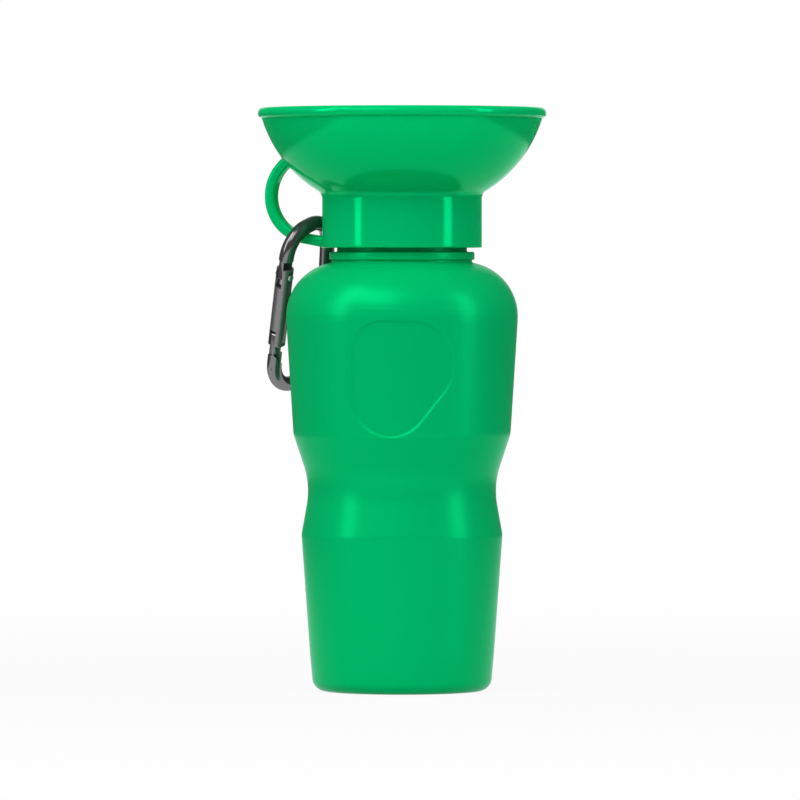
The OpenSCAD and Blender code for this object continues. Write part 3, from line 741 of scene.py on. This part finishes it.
def makeBowl():
    b = bowl
    centre = (b["arcX"], b["floor"] + b["arcUp"])
    innerRadius = b["arcRadius"] - b["wall"]
    wallMid = b["arcRadius"] - b["wall"] / 2
    bead = (b["arcX"] + sqrt(wallMid ** 2 - (b["arcUp"] - b["rimUp"]) ** 2), b["floor"] + b["rimUp"])
    toBead = Vector(bead) - Vector(centre)
    away = toBead.length

    def meeting(radius):  # where a wall's arc runs into the rim's bead: turns on the arc and on the bead
        offset = acos((away ** 2 + radius ** 2 - b["bead"] ** 2) / (2 * away * radius))
        angle = bearing(toBead) - offset
        point = Vector(onCircle(centre, radius, [angle])[0])
        return angle, bearing(point - Vector(bead))

    outerTop, beadFirst = meeting(b["arcRadius"])
    innerTop, beadLast = meeting(innerRadius)
    outerLow = -asin((b["arcUp"] + b["footStep"]) / b["arcRadius"])
    innerLow = -asin((b["arcUp"] - b["floorStep"]) / innerRadius)
    neckEnd = centre[0] + b["arcRadius"] * cos(outerLow)
    ceiling = b["floor"] - b["floorThick"]
    grooveTop, grooveLow = b["grooveZ"] + b["grooveHalf"], b["grooveZ"] - b["grooveHalf"]
    grooveEnd = b["bore"] + b["grooveDeep"]
    collarSide = (b["collar"], b["collarLow"] + b["collarEdge"], 0)
    line = roundedLine([
        (b["port"], ceiling, 0.4), (b["bore"], ceiling, 0.8), (b["bore"], grooveTop, 0),
        (grooveEnd, grooveTop, 0), (grooveEnd, grooveLow, 0), (b["bore"], grooveLow, 0),
        (b["bore"], b["collarLow"], 0.3), (b["collar"], b["collarLow"], 0.45), collarSide,
    ], steps=5)
    line += roundedLine([
        collarSide, (b["collar"], b["floor"] - 4 * b["footStep"], b["collarRound"]),
        (neckEnd, b["floor"] - b["footStep"], 0),
    ])[1:]
    line += arc(centre, b["arcRadius"], outerLow, outerTop, b["wallSteps"])[1:]
    line += arc(bead, b["bead"], beadFirst, beadLast + 2 * pi, b["beadSteps"])[1:-1]
    line += arc(centre, innerRadius, innerTop, innerLow, b["wallSteps"])
    line += roundedLine([
        (b["port"] + b["floorFlat"], b["floor"], 0), (b["port"], b["floor"], 0.5),
        (b["port"], ceiling + 0.5, 0),
    ], steps=5)
    shell = lathe("bowlShell", line, evenTurns(facets["bowl"]), closed=True)
    dress(shell, "bowl", "bowl_green", "bowl", "bowl")
    # a quarter turn on puts them midway between the cap's cams, which are half a lead apart
    addCams("collarCam", b["bore"], b["camCrest"], pi / 2, "bowl", "bowl_green", "bowl")
    addLoop(centre, wallMid)


def addLoop(bowlCentre, wallMid):
    # the strap leaves the collar, rounds the loop and runs into the bowl's wall
    b, radius = bowl, loop["radius"]
    mid = (loop["x"], b["floor"] - loop["drop"])
    slope = radians(loop["slope"])
    toBowl = Vector(bowlCentre) - Vector(mid)
    spread = acos((radius ** 2 + toBowl.length ** 2 - wallMid ** 2) / (2 * radius * toBowl.length))
    ring = arc(mid, radius, slope - pi / 2, bearing(toBowl) - spread, loop["ringSteps"])
    lean = Vector((cos(slope), sin(slope)))
    run = (ring[0][0] - b["collar"] + loop["sunk"]) / lean.x
    foot = Vector(ring[0]) - lean * run
    steps = loop["runSteps"]
    path = [tuple(foot + lean * run * i / steps) for i in range(steps)] + ring
    sizes = []
    for x, z in path:
        offCollar = max(0, x - b["collar"])
        offWall = max(0, hypot(x - bowlCentre[0], z - bowlCentre[1]) - b["arcRadius"])
        swell = exp(-offCollar / loop["flare"]) * (z < b["floor"] - loop["collarDrop"])
        swell += exp(-offWall / loop["flare"]) * (z > b["floor"])
        sizes.append((1 + loop["swellAcross"] * swell, 1 + loop["swellUp"] * swell))
    x, y = loop["thick"] / 2, loop["wide"] / 2
    spot = Matrix.Rotation(radians(loop["turn"]), 4, "Z")
    strap = sweep("carryLoop", flatPath(path, spot), oblong(-x, x, -y, y, loop["edge"]), sizes)
    dress(strap, "bowl", "bowl_green", "bowl")


makePlug()
makeBowl()
print("plug, bowl and carry loop made")


# sizes down to gateBend are in the carabiner's plane, and the rest are counted from its rivet, up the gate;
# slotBend is a share of the latch slot's half height, so that the slot's end is all but a half circle
carabiner = dict(
    rod=5.6, topWidth=22.3, baseWidth=28.7, length=66.5, spineBend=10.7, baseBend=12.5, gateBend=10.8,
    rivetFromCorner=16.6, rodEnd=6.4, tongue=2.2, tongueFoot=1.2, rivetHole=0.86, shoulder=32.5, slant=44,
    noseTop=23.8, noseIn=1.5, latchDrop=27.0, latchRoom=0.85, slotBend=0.98, softEdge=0.16, step=1.5,
)
gate = dict(
    radius=3.25, bore=1.9, above=3.2, below=28.9, boreFoot=23.7, slot=2.7, slotFoot=4.4, notchTop=22.5,
    seat=2.9, seatRadius=1.36, pinHole=0.63, rivetHole=0.83, softEdge=0.12,
)
spring = dict(radius=1.59, wire=0.5, turns=9, low=23.4, high=4.3, stepsPerTurn=28)


def hookPlace():  # the carabiner's own plane, read from its gate's joint and its plunger's way
    c = carabiner
    facing = -Vector(joints["gate_swing"]["axis"]).normalized()
    up = -Vector(joints["plunger_slide"]["axis"]).normalized()
    gateSpot = Matrix((facing.cross(up), facing, up)).transposed().to_4x4()
    gateSpot.translation = Vector(joints["gate_swing"]["pos_m"])
    slope = atan2(c["baseWidth"] - c["topWidth"], c["length"])
    down = Vector((-sin(slope), 0, -cos(slope)))
    rivet = Vector((-c["topWidth"], 0, 0)) + down * c["rivetFromCorner"]
    hookSpot = gateSpot @ Matrix.Rotation(-slope, 4, "Y") @ Matrix.Translation(-rivet * mm)
    return gateSpot, hookSpot, rivet, down


def makeRod(gateSpot, hookSpot, rivet, down):
    c = carabiner
    low = rivet + down * (c["shoulder"] - overlap)
    high = rivet - down * c["rodEnd"]
    line = refined(roundedLine([
        (low.x, low.z, 0), (-c["baseWidth"], -c["length"], c["baseBend"]),
        (0, -c["length"], c["baseBend"]), (0, 0, c["spineBend"]), (-c["topWidth"], 0, c["gateBend"]),
        (high.x, high.z, 0),
    ], steps=32), c["step"])
    half = c["rod"] / 2
    rod = sweep("carabinerRod", flatPath(line, hookSpot), circle(half, facets["rod"]))

    # the hook's end is cut to a slanted shoulder, and its nose and the upper tongue are flats of the rod
    lean = tan(radians(c["slant"]))
    fall = 2 * half * lean
    out = half + overlap
    above = [(-out, -c["shoulder"] + overlap * lean), (out, -c["shoulder"] - fall - overlap * lean),
             (out, 0), (-out, 0)]
    combined(rod, "DIFFERENCE", [plate("slantCut", above, -out, out, gateSpot)])
    edge = c["tongue"] / 2
    flat = sqrt(half ** 2 - edge ** 2)
    noseFoot = -c["shoulder"] - fall - overlap
    room = c["latchRoom"]
    slotLow, slotHigh = -c["latchDrop"] - room, -c["latchDrop"] + room
    slotBend = room * c["slotBend"]
    nose = roundedLine([
        (-flat, noseFoot, 0), (flat, noseFoot, 0), (flat, -c["shoulder"], 0.3),
        (c["noseIn"], -c["shoulder"], 0.3), (c["noseIn"], slotLow, 0.3), (-room, slotLow, slotBend),
        (-room, slotHigh, slotBend), (c["noseIn"], slotHigh, 0.3), (c["noseIn"], -c["noseTop"], 0.9),
        (-flat, -c["noseTop"], 1.0),
    ], steps=6, closed=True)
    tongueTop = c["rodEnd"] + overlap
    tongue = roundedLine([
        (-flat, tongueTop, 0), (-flat, -c["tongueFoot"], 0.6), (flat, -c["tongueFoot"], 0.6),
        (flat, tongueTop, 0),
    ], steps=6, closed=True)
    outlines = {"nose": nose, "tongue": tongue}
    flats = [plate(name, outline, -edge, edge, gateSpot) for name, outline in outlines.items()]
    combined(rod, "UNION", flats)
    softEdges(rod, c["softEdge"])
    combined(rod, "DIFFERENCE", [pin("hole", c["rivetHole"], half, gateSpot)])
    dress(rod, "carabiner", "rod_gunmetal", "rod", "carabiner_body")


def makeSleeve(gateSpot):
    g = gate
    sleeve = lathe("gateSleeve", roundedLine([
        (0, -g["below"], 0), (g["radius"], -g["below"], 0.35), (g["radius"], g["above"], 0.35),
        (g["bore"], g["above"], 0.1), (g["bore"], -g["boreFoot"], 0.1), (0, -g["boreFoot"], 0),
    ], steps=4), evenTurns(facets["sleeve"]), spot=gateSpot)
    out, slot = g["radius"] + overlap, g["slot"] / 2
    ends = {"slot": (-g["slotFoot"], g["above"] + overlap),
            "notch": (-g["below"] - overlap, -g["notchTop"])}
    cuts = [plate(name, oblong(-out, out, *ends[name]), -slot, slot, gateSpot) for name in ends]
    combined(sleeve, "DIFFERENCE", cuts)
    softEdges(sleeve, g["softEdge"])
    holes = [pin("rivetHole", g["rivetHole"], out, gateSpot),
             pin("pinHole", g["pinHole"], out, gateSpot, (0, -carabiner["latchDrop"]))]
    for low, high in ((-out, -g["seat"]), (g["seat"], out)):
        holes.append(plate("seat", circle(g["seatRadius"], facets["seat"]), low, high, gateSpot))
    combined(sleeve, "DIFFERENCE", holes)
    dress(sleeve, "gate", "gate_gunmetal", "gate", "carabiner_gate")


def makeSpring(gateSpot):
    s = spring
    count = s["turns"] * s["stepsPerTurn"]
    rise = (s["low"] - s["high"]) / (2 * pi * s["turns"])  # for each radian
    plane = gateSpot.to_3x3()
    path = []
    for i in range(count + 1):
        turn = 2 * pi * s["turns"] * i / count
        out = Vector((cos(turn), sin(turn), 0))
        along = Vector((-sin(turn) * s["radius"], cos(turn) * s["radius"], rise)).normalized()
        point = out * s["radius"] + Vector((0, 0, -s["low"] + rise * turn))
        path.append((gateSpot @ (point * mm), plane @ out, plane @ along.cross(out)))
    coil = sweep("gateSpringCoil", path, circle(s["wire"] / 2, facets["wire"]))
    dress(coil, "gate", "steel", "steel", "gate_spring")


gateSpot, *hookPlane = hookPlace()
makeRod(gateSpot, *hookPlane)
makeSleeve(gateSpot)
makeSpring(gateSpot)
print("carabiner made")


# what stays from the frame takes its finish here
nodePaints = dict(
    neck_gasket="gasket", dip_tube="tube", plug_oring="seal", collar_oring="seal", gate_rivet="steel",
    latch_pin="steel", gate_plunger="steel",
)
for node, paint in nodePaints.items():
    painted(frame["nodes"][node], paint)
